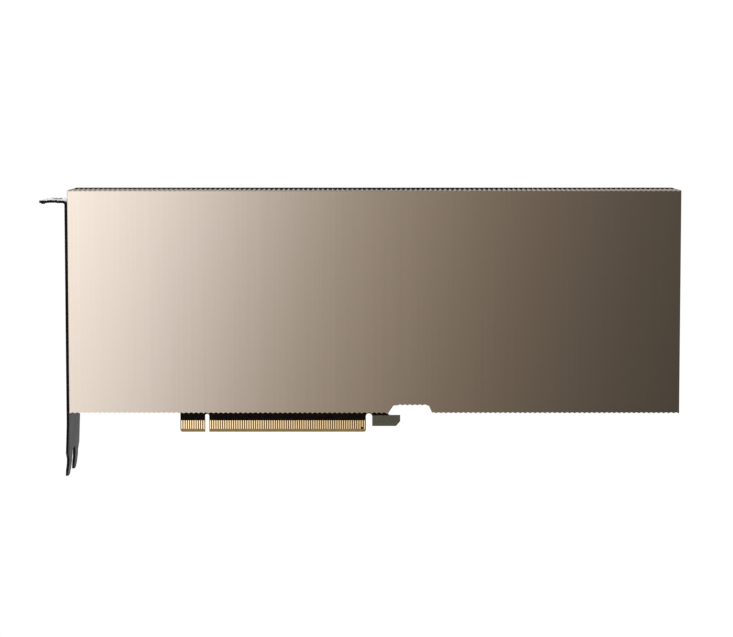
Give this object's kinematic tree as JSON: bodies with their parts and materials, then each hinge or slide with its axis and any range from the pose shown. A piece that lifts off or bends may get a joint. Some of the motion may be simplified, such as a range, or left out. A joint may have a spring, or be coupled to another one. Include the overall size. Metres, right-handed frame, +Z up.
{
  "type": "passive accelerator card",
  "caption": "Full-height dual-slot passive accelerator card: fluted bronze cover, black bracket and frames, board with edge contacts, open rear air intake.",
  "frame": {"origin": "centre of the key notch, on the lower line of the card edge, in the component face of the circuit board", "axes": "+X from the slot bracket to the air-intake end, +Z up away from the card edge, -Y out of the component side through the cover plate"},
  "size_m": [0.2806, 0.0388, 0.1268],
  "materials": {
    "bronze_cover": "vertically brushed, champagne-bronze anodised",
    "black_frame": "satin black anodised",
    "black_plate": "fine-blasted black anodised",
    "board_resin": "black solder mask over glass-resin laminate, bare at the bevelled edge",
    "gold_contacts": "hard gold plate",
    "black_steel": "black plated steel sheet",
    "copper": "satin copper",
    "fin_aluminium": "mill finish sheet",
    "package_resin": "green laminate",
    "nickel_frame": "nickel plate",
    "silicon": "polished silicon",
    "thermal_paste": "grey paste",
    "ferrite": "moulded grey powder core",
    "chip_resin": "black moulded resin",
    "pad_silicone": "soft silicone pad",
    "capacitor_case": "black moulded case",
    "tan_ceramic": "fired ceramic with tinned ends",
    "connector_nylon": "black nylon",
    "tinned_pins": "bright tin plate",
    "black_screws": "black oxide",
    "screw_steel": "plain steel",
    "spring_steel": "drawn wire"
  },
  "bodies": {
    "root": {"front_cover": "bronze_cover", "base_frame": "black_frame", "rear_end_frame": "black_frame", "backplate": "black_plate", "circuit_board": "board_resin", "front_contacts": "gold_contacts", "back_contacts": "gold_contacts", "io_bracket": "black_steel", "vapour_chamber": "copper", "fin_stack": "fin_aluminium", "package_substrate": "package_resin", "package_stiffener": "nickel_frame", "processor_die": "silicon", "memory_stacks": "silicon", "thermal_paste": "thermal_paste", "inductors": "ferrite", "power_stages": "chip_resin", "thermal_pads": "pad_silicone", "polymer_capacitors": "capacitor_case", "ceramic_capacitors": "tan_ceramic", "controller_chips": "chip_resin", "management_chip": "chip_resin", "flash_chip": "chip_resin", "input_inductors": "ferrite", "power_connector": "connector_nylon", "power_pins": "tinned_pins", "cover_screws": "black_screws", "end_frame_screws": "black_screws", "backplate_screws": "black_screws", "bracket_screws": "black_screws", "heatsink_screws": "screw_steel", "heatsink_springs": "spring_steel"}
  },
  "joints": []
}
